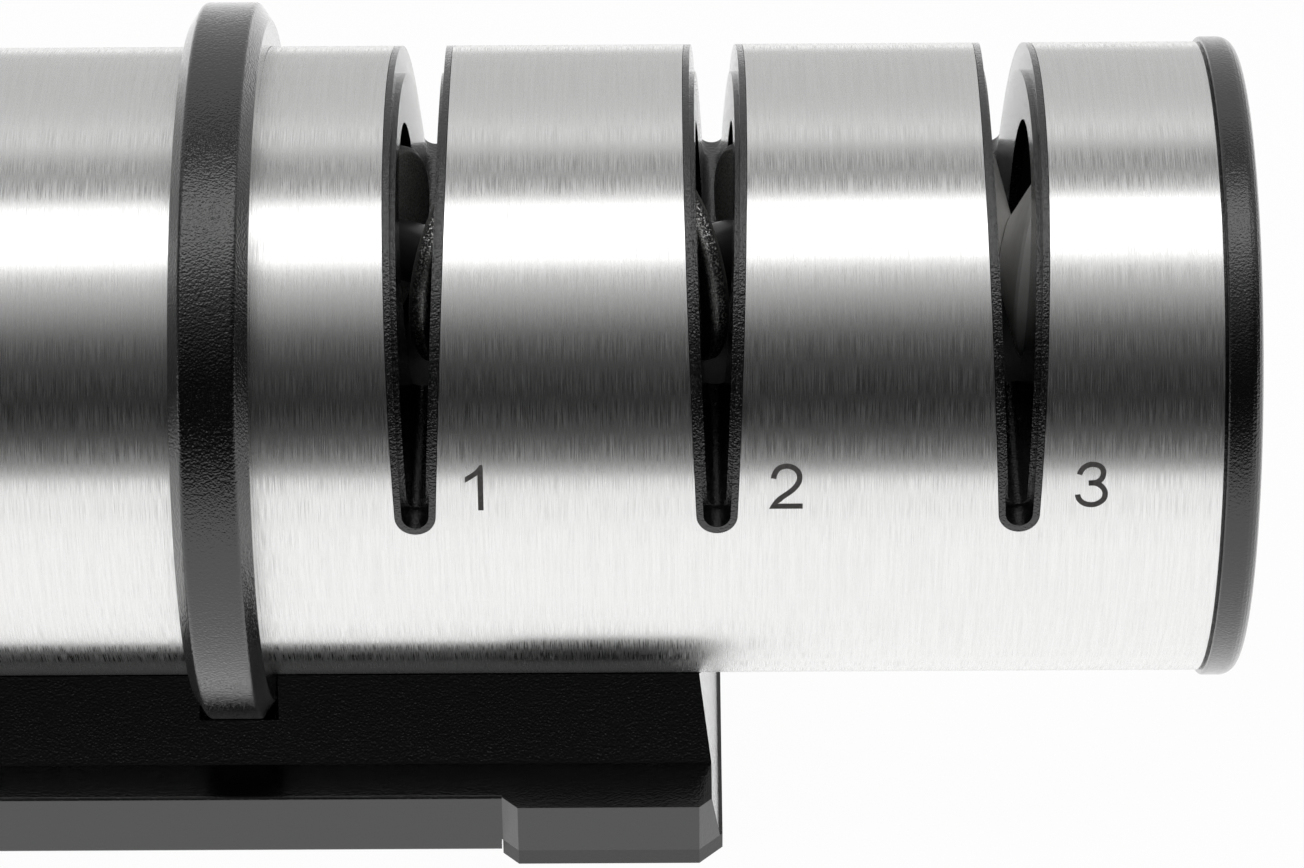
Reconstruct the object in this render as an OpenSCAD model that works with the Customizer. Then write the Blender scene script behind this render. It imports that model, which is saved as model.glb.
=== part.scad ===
// Pull-through knife sharpener: a steel tube with three sharpening slots, lying in a moulded base.
// A knife is drawn along Y through a slot, between two wheels that turn on one skewed pin.
// +X runs from the handle end to the slots, +Y away from the user and +Z up.
// The origin is the middle of the area that the feet cover on the table.

/* [Tube] */
// Length over both end caps
overall_l = 200; // [190:1:240]
// Outside diameter of the steel tube
tube_d = 51; // [50.5:0.1:52]
// Wall of the steel tube
tube_wall = 0.9; // [0.7:0.1:1.2]
// Gap between the tube and the table
tube_lift = 6.9; // [6.6:0.1:10]

/* [Slots] */
// Distance between neighbouring slots
stage_pitch = 23.3; // [22.5:0.1:25]
// Distance from the last slot to the tube's end
last_stage_in = 15.6; // [15.3:0.1:18]
// Width of a slot at the crown of the tube
slot_top_w = 5.06; // [4.8:0.02:5.6]
// Width of a slot at its round bottom
slot_root_w = 3.2; // [3:0.1:3.6]
// Depth of a slot under the crown of the tube
slot_depth = 22.7; // [22:0.1:23]
// Thickness of the moulded liner at its lips
liner_t = 0.55; // [0.45:0.05:0.7]
// Thickness of the liner's guides, between its lips
guide_t = 0.85; // [0.75:0.05:1]
// Depth of the guides' edge under the tube's surface
guide_drop = 2.2; // [1.6:0.1:3]

/* [Wheels] */
// Diameter of every sharpening wheel
wheel_d = 16.2; // [15:0.1:17.4]
// Depth of the pins under the crown of the tube
pin_depth = 14.8; // [14.5:0.1:15.3]
// Turn of the pins of the metal wheels away from the tube's axis, in degrees
skew = 23; // [18:1:24]
// Turn of the ceramic wheels' pin, in degrees
ceramic_skew = 15; // [12:1:20]
// Thickness of the coarse and the medium wheels
grit_wheel_t = 1.6; // [1.2:0.1:1.8]
// Thickness of the ceramic wheels
ceramic_wheel_t = 2.5; // [2:0.1:2.6]
// Space between the two wheels of a coarse or medium pair
grit_pair_gap = 5.4; // [5:0.1:5.8]
// Space between the rims of the two ceramic wheels
ceramic_pair_gap = 4.7; // [4.4:0.1:5]
// Diameter of the ceramic wheels' conical faces where they meet
ceramic_root_d = 5.8; // [5.6:0.1:7]
// Chamfer on a metal wheel's rim
grit_rim_chamfer = 0.35; // [0.1:0.05:0.5]
// Chamfer on a ceramic wheel's rim
ceramic_rim_chamfer = 0.3; // [0.1:0.05:0.6]
// Diameter of the pins
pin_d = 2; // [1.6:0.1:2.2]
// Diameter of the hub between two metal wheels
hub_d = 4.8; // [4.4:0.1:5.4]
// Diameter of the hub's ends, which carry the wheels
hub_end_d = 3.6; // [3.4:0.1:4]
// How far a pair of wheels can float to each side along its pin
side_play = 0.7; // [0.3:0.1:0.8]
// Gap round the rim of a wheel inside its chamber
chamber_gap = 2.5; // [1.8:0.1:2.7]

/* [Collar ring] */
// Distance from the ring's middle to the first slot
ring_to_stage = 15.5; // [14.5:0.1:17]
// Width of the ring
ring_w = 6.15; // [5.5:0.05:7]
// How far the ring stands out from the tube
ring_proud = 3.6; // [3:0.1:4]
// Width of the ring's flat outer face
ring_face_w = 4.2; // [3:0.1:4.8]
// Height of the ring's straight side, under its chamfer
ring_side_h = 2.1; // [1.4:0.1:2.4]

/* [End caps] */
// How far a cap stands out from the tube's end
cap_out = 3.3; // [3:0.1:4]
// How far a cap's edge stands out past the tube's wall
cap_proud = 0.4; // [0.2:0.1:0.8]
// Shadow gap between a cap and the tube's end
cap_gap = 0.25; // [0.1:0.05:0.4]
// Radius of a cap's outer edge
cap_edge_r = 1.2; // [0.8:0.1:2]
// Rise of a cap's domed face
cap_dome = 0.3; // [0.1:0.1:0.6]
// Thickness of a cap's face
cap_plate_t = 2.4; // [2:0.1:2.6]
// Length of the spigot inside the tube
spigot_l = 4.2; // [3.4:0.1:4.4]
// Wall of the spigot
spigot_wall = 1.8; // [1.4:0.1:2.4]

/* [Base] */
// Length of the base
base_l = 116.6; // [110:0.1:124]
// How far each side of the base stands in from the side of the tube
base_inset = 1.5; // [0.5:0.1:2.5]
// Height of the upright rim round the base
rim_h = 5.9; // [5:0.1:6.4]
// Gap between the rim and the table
rim_clear = 0.3; // [0.2:0.1:0.8]
// Width of the flat ledge along each side of the base
ledge_w = 4; // [3:0.1:4.6]
// Angle from straight down to the edge of the cradle, in degrees
cradle_angle = 41; // [39:1:43]
// Wall of the base
base_wall = 2.2; // [1.8:0.1:2.6]
// Thickness of the stiffening ribs under the base
rib_t = 1.6; // [1.2:0.1:2]
// Taper of each end of the base from bottom to top
end_taper = 1.85; // [0.5:0.05:2.4]
// Chamfer on the upright corners of the base
base_corner = 1.1; // [0.6:0.1:1.6]

/* [Feet] */
// Length of each foot along the tube
foot_l = 16.6; // [14:0.1:18]
// How far a foot stands out from the base
foot_proud = 1.3; // [0.8:0.1:1.6]
// Run of the slope between a foot and the base
foot_ramp = 1.3; // [1:0.1:3]
// Chamfer on the outer corners of a foot
foot_corner = 1.9; // [1.4:0.1:3]
// Thickness of the rubber pad under a foot
pad_t = 1.5; // [1:0.1:2]

/* [Core and screws] */
// Wall between the core's lower cells and the tube
core_wall = 2.4; // [2:0.1:3]
// Width of each cell in the core
core_cell_w = 10; // [9:0.5:11]
// Diameter of the base screws and core screws
screw_d = 3; // [2.6:0.1:3.4]
// Diameter of the screw heads
screw_head_d = 5.8; // [5.2:0.1:6]
// Height of the screw heads
screw_head_h = 2; // [1.6:0.1:2.2]
// Distance of each base screw from the middle plane
base_screw_y = 9; // [8.5:0.1:10]
// Length of the block that holds the base's screws at the handle end
block_l = 26; // [20:1:32]
// Height of that block
block_h = 11.6; // [10:0.2:13]

/* [Fits] */
// Gap round a piece that slides into another
slide_fit = 0.1; // [0.05:0.01:0.2]
// Gap round a pin on which something turns
running_fit = 0.05; // [0.03:0.01:0.08]
// Gap round a piece that is held fast
tight_fit = 0.03; // [0.02:0.01:0.05]

/* [Hidden] */
$fn = 96;

// How far every cut runs past the piece that it cuts
overrun = 1;
tube_r = tube_d / 2;
bore_r = tube_r - tube_wall;
axis_h = tube_r + tube_lift;
tube_l = overall_l - 2 * cap_out;
tube_end = tube_l / 2;
tube_mid = 0;

// Slots and stages, counted from the handle: coarse, medium and fine
COARSE = 0;
MEDIUM = 1;
FINE = 2;
STAGES = [COARSE, MEDIUM, FINE];
LEFT = -1;
RIGHT = 1;
FRONT = -1;
REAR = 1;
// The middle stage is the mirror image of its neighbours
stage_turns = [-1, 1, -1];
// Where each pair rests within its side play
pair_rest_shares = [-0.5, 0.95, 0];
slot_floor = tube_r - slot_depth;
slot_root_r = slot_root_w / 2;
slot_root_z = slot_floor + slot_root_r;
slot_flare = (slot_top_w - slot_root_w) / 2 / (tube_r - slot_root_z);
function stage_x(i) = tube_end - last_stage_in - (len(STAGES) - 1 - i) * stage_pitch;
function slot_half_at(z) = slot_root_r + slot_flare * (z - slot_root_z);

// Wheels, hubs and pins
wheel_r = wheel_d / 2;
pin_rise = tube_r - pin_depth;
pin_r = pin_d / 2;
hub_end_r = hub_end_d / 2;
wheel_bore_r = hub_end_r + tight_fit;
// Rim of the hub that keeps a wheel's face off the chamber's wall
hub_rim = 0.4;
pin_chamfer = 0.3;
pin_seat_l = 2.6;
chamber_r = wheel_r + chamber_gap;
function wheel_t(i) = i == FINE ? ceramic_wheel_t : grit_wheel_t;
function pin_turn(i) = stage_turns[i] * (i == FINE ? ceramic_skew : skew);
function pair_gap(i) = i == FINE ? ceramic_pair_gap : grit_pair_gap;
function hub_half(i) = pair_gap(i) / 2 + wheel_t(i) + hub_rim;
function chamber_half(i) = hub_half(i) + side_play + slide_fit;
function pin_half(i) = chamber_half(i) + pin_seat_l;
function pair_shift(i) = pair_rest_shares[i] * side_play;

// Core inside the tube
core_r = bore_r - slide_fit;
core_end = tube_end - spigot_l - slide_fit;
core_start = stage_x(COARSE) - ring_to_stage - ring_w;
core_cell_top = pin_rise - chamber_r - core_wall;
core_screw_z = -9;
core_screw_seat = 12;
core_screw_l = 20;
peg_r = 1.6;
peg_l = 4;
peg_in = 3.6;
peg_drop = 12;
peg_rise = 13;
function core_screw_x(i) = stage_x(i) - stage_pitch / 2;

// Collar ring
ring_x = stage_x(COARSE) - ring_to_stage;
ring_r = tube_r + ring_proud;
ring_bore_r = tube_r + tight_fit;
ring_edge_round = 0.5;
ring_side_round = 0.3;

// Caps
cap_r = tube_r + cap_proud;
spigot_r = bore_r - tight_fit;
spigot_lead = 0.5;
cap_rib_t = 1.6;
dome_steps = 6;
round_steps = 6;

// Base, in heights measured from the tube's axis
saddle_r = tube_r + slide_fit;
base_w = tube_d - 2 * base_inset;
base_half_l = base_l / 2;
base_half_w = base_w / 2;
base_bottom = rim_clear - axis_h;
rim_top = base_bottom + rim_h;
ledge_y = base_half_w - ledge_w;
cradle_y = saddle_r * sin(cradle_angle);
cradle_z = -saddle_r * cos(cradle_angle);
foot_half_w = base_half_w + foot_proud;
foot_start = base_half_l - foot_l;
pad_top = pad_t - axis_h;
rim_round = 0.25;
recess_gap = 0.15;
recess_half = ring_w / 2 + recess_gap;
// How far the cavity stays inside the ledge's inner edge and the cradle's edge, as shares of the wall
roof_ledge_share = 0.65;
roof_cradle_share = 1.1;
// Ribs that cross the base, as shares of its half length between the feet
cross_rib_shares = [-0.8, -0.42, -0.06, 0.86];
long_rib_y = 7.6;

// Screws
screw_r = screw_d / 2;
screw_hole_r = screw_r + slide_fit;
screw_pilot_r = screw_r + tight_fit;
screw_head_r = screw_head_d / 2;
screw_sink_r = screw_head_r + slide_fit * 2;
recess_arm_w = 0.9;
recess_arm_l = 3.2;
recess_depth = 1.2;
screw_tip_l = 1.5;
screw_tip_r = 0.4;
boss_r = screw_sink_r + rib_t / 2;
head_screw_x = ring_x + ring_w / 2 + boss_r + rib_t / 2;
handle_screw_x = -(foot_start - foot_ramp - boss_r - rib_t);
base_screw_seat = 4.4;
base_screw_l = 12.6;
block_x = handle_screw_x;
block_top = block_h - bore_r;
block_groove_w = 6;
block_groove_drop = 5;

// Unit vector from one point to another
function toward(a, b) = (b - a) / norm(b - a);

// The points of an arc of radius r that rounds the corner p between the points a and b
function corner_arc(a, p, b, r) =
    let (u = toward(p, a), v = toward(p, b))
    let (half = acos(max(-1, min(1, u * v))) / 2)
    let (reach = r / tan(half), centre = p + toward([0, 0], u + v) * r / sin(half))
    let (from = p + u * reach - centre, to = p + v * reach - centre)
    let (sweep = acos(max(-1, min(1, from * to / (r * r)))), turn = sign(cross(from, to)))
    [for (k = [0:round_steps])
        let (t = turn * sweep * k / round_steps)
        centre + [from.x * cos(t) - from.y * sin(t), from.x * sin(t) + from.y * cos(t)]];

// An outline of [x, y, radius] corners with every corner rounded that has a radius
function rounded(pts) =
    [for (i = [0:len(pts) - 1])
        let (n = len(pts), p = pts[i], a = pts[(i + n - 1) % n], b = pts[(i + 1) % n])
        each (p[2] > 0 ? corner_arc([a.x, a.y], [p.x, p.y], [b.x, b.y], p[2]) : [[p.x, p.y]])];

// Turns an outline of radius and x round the tube's axis
module revolve_x() {
    translate([0, 0, axis_h]) rotate([0, 90, 0]) rotate_extrude() children();
}

// A round bar on the tube's axis from x0 to x1
module bar_x(r, x0, x1) {
    translate([x0, 0, axis_h]) rotate([0, 90, 0]) cylinder(r = r, h = x1 - x0);
}

// A bar lying along X, centred where it stands
module lying_bar(r, l) {
    rotate([0, 90, 0]) cylinder(r = r, h = l, center = true);
}

// Extrudes an outline of y and z along X from x0 to x1, on the tube's axis
module prism_x(x0, x1) {
    translate([x0, 0, axis_h]) rotate([90, 0, 90]) linear_extrude(height = x1 - x0) children();
}

// Places things at a stage, on the tube's axis
module at_stage(i) {
    translate([stage_x(i), 0, axis_h]) children();
}

// Places things on a stage's pin: X along the pin, from the pair's middle
module on_pin(i) {
    at_stage(i) translate([0, 0, pin_rise]) rotate([0, 0, pin_turn(i)]) children();
}

// The slot's outline: a round bottom and two flaring flanks, made wider by grow
module slot_outline(grow = 0) {
    top = tube_r + overrun * 2;
    translate([0, slot_root_z]) circle(r = slot_root_r + grow);
    polygon([[-(slot_root_r + grow), slot_root_z], [slot_root_r + grow, slot_root_z],
             [slot_half_at(top) + grow, top], [-(slot_half_at(top) + grow), top]]);
}

// The slot's whole passage through the tube, from front to rear
module slot_passage(i, grow = 0) {
    at_stage(i) rotate([90, 0, 0])
        linear_extrude(height = 2 * (tube_r + overrun), center = true) slot_outline(grow);
}

// Steel tube with its three slots and the holes for the base's screws
module tube_shell() {
    color("silver") difference() {
        bar_x(tube_r, -tube_end, tube_end);
        bar_x(bore_r, -tube_end - overrun, tube_end + overrun);
        for (i = STAGES) slot_passage(i);
        base_screw_places() cylinder(r = screw_hole_r, h = axis_h);
    }
}

// Moulded liner of a slot with thin lips and thicker guides, notched over the wheels
module slot_liner(i) {
    color("black") intersection() {
        difference() {
            slot_passage(i, -slide_fit / 2);
            slot_passage(i, -guide_t);
            difference() {
                slot_passage(i, -liner_t);
                bar_x(tube_r - guide_drop, tube_mid, tube_end);
            }
            at_stage(i) translate([0, 0, pin_rise]) lying_bar(chamber_r, stage_pitch);
        }
        bar_x(tube_r, tube_mid, tube_end);
    }
}

// Turns a wheel's outline round its pin: radius, and distance from the middle of its pair
module turned_wheel(i, side, outline) {
    on_pin(i) translate([pair_shift(i), 0, 0]) rotate([0, side * 90, 0]) rotate_extrude() polygon(outline);
}

// The outer end of a wheel's outline, from the inner edge of its rim to its bore
function wheel_rim(i, c) =
    let (near = pair_gap(i) / 2, far = near + wheel_t(i))
    [[wheel_r - c, near], [wheel_r, near + c], [wheel_r, far - c], [wheel_r - c, far], [wheel_bore_r, far]];

// Flat metal wheel coated with diamond
module grit_wheel(i, side) {
    color("dimgray")
        turned_wheel(i, side, concat([[wheel_bore_r, pair_gap(i) / 2]], wheel_rim(i, grit_rim_chamfer)));
}

// Ceramic wheel with a conical inner face, so that the pair forms a V
module ceramic_wheel(side) {
    color("gainsboro") turned_wheel(FINE, side, concat(
        [[wheel_bore_r, tight_fit], [ceramic_root_d / 2, tight_fit]], wheel_rim(FINE, ceramic_rim_chamfer)));
}

// Hub that carries a pair of wheels, spaces the metal ones and turns on the pin
module hub(i) {
    color("darkslategray") on_pin(i) translate([pair_shift(i), 0, 0]) difference() {
        union() {
            if (i != FINE) lying_bar(hub_d / 2, pair_gap(i) - tight_fit * 2);
            lying_bar(hub_end_r, 2 * hub_half(i));
        }
        lying_bar(pin_r + running_fit, 2 * hub_half(i) + overrun);
    }
}

// Steel pin with chamfered ends, held in the core's two halves
module axle(i) {
    l = pin_half(i) - tight_fit;
    color("lightsteelblue") on_pin(i) rotate([0, 90, 0]) rotate_extrude()
        polygon([[0, -l], [pin_r - pin_chamfer, -l], [pin_r, -l + pin_chamfer],
                 [pin_r, l - pin_chamfer], [pin_r - pin_chamfer, l], [0, l]]);
}

// Seat of a pin's end, open at the parting plane of the half that holds it
module pin_seat(i, side) {
    end = side * stage_turns[i];
    r = pin_r + tight_fit;
    reach = pin_half(i) * sin(abs(pin_turn(i))) + r;
    middle = end * (chamber_half(i) + pin_half(i)) / 2;
    on_pin(i) translate([middle, 0, 0]) {
        lying_bar(r, pin_seat_l);
        translate([0, -side * reach / 2, 0]) cube([pin_seat_l, reach, 2 * r], center = true);
    }
}

// The half of all space on one side of the tube's middle plane
module half_space(side) {
    y = side == FRONT ? -overall_l : 0;
    translate([-overall_l, y, -overall_l]) cube([2 * overall_l, overall_l, 2 * overall_l]);
}

// One cell under a stage, open at the parting plane
module core_cell(i) {
    intersection() {
        bar_x(core_r - core_wall, core_start, core_end);
        translate([stage_x(i) - core_cell_w / 2, -tube_r, 0])
            cube([core_cell_w, tube_d, axis_h + core_cell_top]);
    }
}

// Places of the screws that clamp the halves, looking along +Y from the heads' seats
module core_screw_places() {
    for (i = STAGES)
        translate([core_screw_x(i), -core_screw_seat, axis_h + core_screw_z]) rotate([-90, 0, 0]) children();
}

// Places of the two pegs that line up the halves
module peg_places() {
    translate([core_screw_x(COARSE), 0, axis_h + peg_rise]) rotate([-90, 0, 0]) children();
    translate([core_end - peg_in, 0, axis_h - peg_drop]) rotate([-90, 0, 0]) children();
}

// What both halves of the core leave open: slots, wheel chambers, cells and screw holes
module core_openings() {
    for (i = STAGES) {
        slot_passage(i);
        on_pin(i) lying_bar(chamber_r, 2 * chamber_half(i));
        core_cell(i);
    }
    base_screw_places() cylinder(r = screw_pilot_r, h = base_screw_l + overrun);
}

module core_front_half() {
    color("dimgray") {
        difference() {
            intersection() {
                bar_x(core_r, core_start, core_end);
                half_space(FRONT);
            }
            core_openings();
            for (i = STAGES) intersection() {
                pin_seat(i, FRONT);
                half_space(FRONT);
            }
            core_screw_places() {
                cylinder(r = screw_hole_r, h = core_screw_l + overrun);
                translate([0, 0, -tube_r]) cylinder(r = screw_sink_r, h = tube_r);
            }
        }
        peg_places() translate([0, 0, -overrun]) cylinder(r = peg_r, h = peg_l + overrun);
    }
}

module core_rear_half() {
    color("dimgray") difference() {
        intersection() {
            bar_x(core_r, core_start, core_end);
            half_space(REAR);
        }
        core_openings();
        for (i = STAGES) intersection() {
            pin_seat(i, REAR);
            half_space(REAR);
        }
        core_screw_places() cylinder(r = screw_pilot_r, h = core_screw_l + overrun);
        peg_places() translate([0, 0, -overrun]) cylinder(r = peg_r + slide_fit, h = peg_l + 2 * overrun);
    }
}

// A pan-head screw pointing along +Z, its head under the seat at zero
module screw(l) {
    difference() {
        translate([0, 0, -screw_head_h]) cylinder(r = screw_head_r, h = screw_head_h);
        for (turn = [0, 90]) rotate([0, 0, turn])
            translate([-recess_arm_l / 2, -recess_arm_w / 2, -screw_head_h - overrun])
                cube([recess_arm_l, recess_arm_w, recess_depth + overrun]);
    }
    cylinder(r = screw_r, h = l - screw_tip_l);
    translate([0, 0, l - screw_tip_l]) cylinder(r1 = screw_r, r2 = screw_tip_r, h = screw_tip_l);
}

module core_screws() {
    color("gray") core_screw_places() screw(core_screw_l);
}

// Guard ring round the tube, chamfered on both sides
module collar_ring() {
    side_r = tube_r + ring_side_h;
    color("black") revolve_x() translate([0, ring_x]) polygon(rounded([
        [ring_bore_r, -ring_w / 2, 0], [side_r, -ring_w / 2, ring_side_round],
        [ring_r, -ring_face_w / 2, ring_edge_round], [ring_r, ring_face_w / 2, ring_edge_round],
        [side_r, ring_w / 2, ring_side_round], [ring_bore_r, ring_w / 2, 0]]));
}

// Outline of a cap from its domed face to its spigot, in radius and distance from the tube's end
module cap_outline() {
    inner_r = spigot_r - spigot_wall;
    back = cap_out - cap_plate_t;
    dome = [for (k = [0:dome_steps - 1]) let (share = k / dome_steps)
        [cap_r * share, cap_out - cap_dome * share * share, 0]];
    polygon(rounded(concat(dome, [
        [cap_r, cap_out - cap_dome, cap_edge_r], [cap_r, cap_gap, cap_gap], [spigot_r, cap_gap, 0],
        [spigot_r, -spigot_l, spigot_lead], [inner_r, -spigot_l, 0], [inner_r, back, 0], [0, back, 0]])));
}

// The cap of the tube's right end
module end_cap() {
    revolve_x() translate([0, tube_end]) cap_outline();
    intersection() {
        bar_x(spigot_r - spigot_wall + tight_fit, tube_end - spigot_l, tube_end + cap_out - cap_plate_t / 2);
        union() for (turn = [0, 90]) translate([tube_end, 0, axis_h]) rotate([turn, 0, 0])
            cube([2 * spigot_l, 2 * tube_r, cap_rib_t], center = true);
    }
}

module right_end_cap() {
    color("black") end_cap();
}

module left_end_cap() {
    color("black") mirror([1, 0, 0]) end_cap();
}

// Half-moon block inside the handle end that the base's screws pull on
module handle_clamp_block() {
    color("dimgray") difference() {
        intersection() {
            bar_x(core_r, block_x - block_l / 2, block_x + block_l / 2);
            translate([-overall_l, -tube_r, 0]) cube([2 * overall_l, tube_d, axis_h + block_top]);
        }
        translate([-overall_l, -block_groove_w / 2, axis_h + block_top - block_groove_drop])
            cube([2 * overall_l, block_groove_w, tube_r]);
        base_screw_places() cylinder(r = screw_pilot_r, h = base_screw_l + overrun);
    }
}

// Places of the base's screws, looking up from the heads' seats
module base_screw_places() {
    for (x = [head_screw_x, handle_screw_x], y = [-base_screw_y, base_screw_y])
        translate([x, y, base_screw_seat]) children();
}

module base_screws() {
    color("gray") base_screw_places() screw(base_screw_l);
}

// The base's cross-section in y and z: upright rim, flat ledge and the slope up to the cradle's edge
module base_section() {
    right = [[base_half_w, base_bottom, rim_round], [base_half_w, rim_top, rim_round],
             [ledge_y, rim_top, 0], [cradle_y, cradle_z, 0]];
    left = [for (k = [len(right) - 1:-1:0]) [-right[k].x, right[k].y, right[k][2]]];
    difference() {
        polygon(rounded(concat(right, left)));
        circle(r = saddle_r);
    }
}

// The hollow under the base, one wall inside the section
module cavity_section() {
    w = base_wall;
    right = [[base_half_w - w, base_bottom - overrun],
             [base_half_w - w, rim_top - w], [ledge_y - w * roof_ledge_share, rim_top - w],
             [cradle_y - w * roof_cradle_share, cradle_z]];
    left = [for (k = [len(right) - 1:-1:0]) [-right[k].x, right[k].y]];
    difference() {
        polygon(concat(right, left));
        circle(r = saddle_r + w);
    }
}

// A long outline from above with its four corners cut off
module cut_corner_plan(half_l, half_w, corner) {
    polygon([for (sx = [-1, 1], sy = [-sx, sx], swap = [0, 1])
        let (along = (sx * sy > 0) == (swap == 0))
        [sx * (half_l - (along ? 0 : corner)), sy * (half_w - (along ? corner : 0))]]);
}

// The outline of one foot from above, on the right
module foot_plan(grow = 0) {
    w = foot_half_w + grow;
    upper = [[foot_start - foot_ramp - grow, base_half_w - foot_corner],
             [foot_start - foot_ramp - grow, base_half_w + grow],
             [foot_start - grow, w],
             [base_half_l - foot_corner + grow, w],
             [base_half_l + grow, w - foot_corner]];
    lower = [for (k = [len(upper) - 1:-1:0]) [upper[k].x, -upper[k].y]];
    polygon(concat(upper, lower));
}

// The two feet, from above, on both ends
module both_ends() {
    children();
    mirror([1, 0, 0]) children();
}

// The hollow under the base less its ribs, screw bosses and the wall round the ring's recess
module base_hollow() {
    span = foot_start - foot_ramp - base_wall;
    difference() {
        prism_x(-span, span) cavity_section();
        for (share = cross_rib_shares)
            translate([share * span - rib_t / 2, -base_w, 0]) cube([rib_t, 2 * base_w, axis_h]);
        for (y = [-long_rib_y, long_rib_y])
            translate([-base_l, y - rib_t / 2, 0]) cube([2 * base_l, rib_t, axis_h]);
        translate([ring_x - recess_half - base_wall, -base_w, 0])
            cube([2 * (recess_half + base_wall), 2 * base_w, axis_h]);
        base_screw_places() translate([0, 0, -base_screw_seat]) cylinder(r = boss_r, h = axis_h);
    }
}

// Moulded base with the cradle for the tube and a foot at each end
module base_cradle() {
    taper = [[-base_half_l, 0], [base_half_l, 0],
             [base_half_l - end_taper, axis_h + cradle_z], [-(base_half_l - end_taper), axis_h + cradle_z]];
    color("black") difference() {
        intersection() {
            union() {
                intersection() {
                    prism_x(-base_half_l, base_half_l) base_section();
                    linear_extrude(height = axis_h) cut_corner_plan(base_half_l, base_half_w, base_corner);
                }
                both_ends() translate([0, 0, pad_t]) linear_extrude(height = rim_top - pad_top) foot_plan();
            }
            rotate([90, 0, 0]) linear_extrude(height = 2 * base_w, center = true) polygon(taper);
        }
        both_ends() translate([0, 0, -overrun]) linear_extrude(height = pad_t + overrun) foot_plan(slide_fit);
        bar_x(saddle_r, -base_l, base_l);
        bar_x(ring_r + recess_gap, ring_x - recess_half, ring_x + recess_half);
        base_hollow();
        base_screw_places() {
            cylinder(r = screw_hole_r, h = axis_h);
            translate([0, 0, -axis_h]) cylinder(r = screw_sink_r, h = axis_h);
        }
    }
}

// Rubber pad that covers the underside of one foot
module foot_pad() {
    linear_extrude(height = pad_t) foot_plan();
}

module right_foot_pad() {
    color("black") foot_pad();
}

module left_foot_pad() {
    color("black") mirror([1, 0, 0]) foot_pad();
}

tube_shell();
slot_liner(COARSE);  // slot_liner_1
slot_liner(MEDIUM);  // slot_liner_2
slot_liner(FINE);  // slot_liner_3
grit_wheel(COARSE, LEFT);  // coarse_wheel_left
grit_wheel(COARSE, RIGHT);  // coarse_wheel_right
hub(COARSE);  // coarse_hub
axle(COARSE);  // coarse_axle
grit_wheel(MEDIUM, LEFT);  // medium_wheel_left
grit_wheel(MEDIUM, RIGHT);  // medium_wheel_right
hub(MEDIUM);  // medium_hub
axle(MEDIUM);  // medium_axle
ceramic_wheel(LEFT);  // fine_wheel_left
ceramic_wheel(RIGHT);  // fine_wheel_right
hub(FINE);  // fine_hub
axle(FINE);  // fine_axle
core_front_half();
core_rear_half();
core_screws();
collar_ring();
left_end_cap();
right_end_cap();
handle_clamp_block();
base_cradle();
base_screws();
left_foot_pad();
right_foot_pad();
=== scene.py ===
"""Looks of the pull-through knife sharpener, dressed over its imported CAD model."""

import logging
import math
from dataclasses import dataclass
from enum import Enum
from typing import Dict, List, Optional, Sequence, Tuple

import bmesh
import bpy
from mathutils import Matrix, Vector


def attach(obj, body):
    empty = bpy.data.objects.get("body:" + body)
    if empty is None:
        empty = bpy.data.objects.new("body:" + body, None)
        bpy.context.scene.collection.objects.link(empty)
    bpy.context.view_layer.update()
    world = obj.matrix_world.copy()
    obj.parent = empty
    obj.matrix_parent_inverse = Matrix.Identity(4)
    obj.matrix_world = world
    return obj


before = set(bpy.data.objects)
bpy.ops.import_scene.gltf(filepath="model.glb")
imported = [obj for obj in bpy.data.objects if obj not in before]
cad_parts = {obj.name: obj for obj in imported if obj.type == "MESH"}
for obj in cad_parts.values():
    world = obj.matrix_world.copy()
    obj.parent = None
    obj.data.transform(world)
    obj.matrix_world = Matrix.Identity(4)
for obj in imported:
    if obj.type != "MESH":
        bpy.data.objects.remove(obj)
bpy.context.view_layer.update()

LOG = logging.getLogger("knife_sharpener")
MM = 0.001
BODY = "sharpener_body"

Colour = Tuple[float, float, float, float]
Point2 = Tuple[float, float]
Strip = List[Tuple[Point2, Point2]]
Span = Tuple[float, float]
Socket = bpy.types.NodeSocket

UNIT: Span = (0.0, 1.0)
WHITE: Colour = (1.0, 1.0, 1.0, 1.0)


def linear(code: str) -> Colour:
    """Turns an sRGB hex colour into Blender's linear colour.

    Args:
        code: Six hex digits after a hash sign.

    Returns:
        The linear red, green, blue and an alpha of one.
    """
    values = [int(code[i:i + 2], 16) / 255 for i in (1, 3, 5)]
    r, g, b = [v / 12.92 if v <= 0.04045 else ((v + 0.055) / 1.055) ** 2.4 for v in values]
    return (r, g, b, 1.0)


def add_node(tree: bpy.types.NodeTree, kind: str, inputs: Optional[Dict] = None,
             **settings) -> bpy.types.Node:
    """Adds one node, sets it up and feeds its inputs.

    Args:
        tree: The node tree that gets the node.
        kind: The node's Blender type without the ShaderNode prefix.
        inputs: Output sockets or values, by the name or number of the input that each feeds.
        settings: Properties of the node, or values of its inputs with underscores for spaces.

    Returns:
        The new node.
    """
    node = tree.nodes.new("ShaderNode" + kind)
    for name, value in settings.items():
        if hasattr(node, name):
            setattr(node, name, value)
        else:
            node.inputs[name.replace("_", " ")].default_value = value
    for socket, source in (inputs or {}).items():
        if isinstance(source, bpy.types.NodeSocket):
            tree.links.new(source, node.inputs[socket])
        else:
            node.inputs[socket].default_value = source
    return node


def noise(tree: bpy.types.NodeTree, place: Socket, size_mm: float, detail: float) -> Socket:
    """Adds an even noise.

    Args:
        tree: The node tree that gets the noise.
        place: The place on the piece, in metres.
        size_mm: Size of its cells.
        detail: Its octaves.

    Returns:
        The noise's value.
    """
    return add_node(tree, "TexNoise", {"Vector": place}, Scale=1 / (size_mm * MM),
                    Detail=detail).outputs[0]


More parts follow.
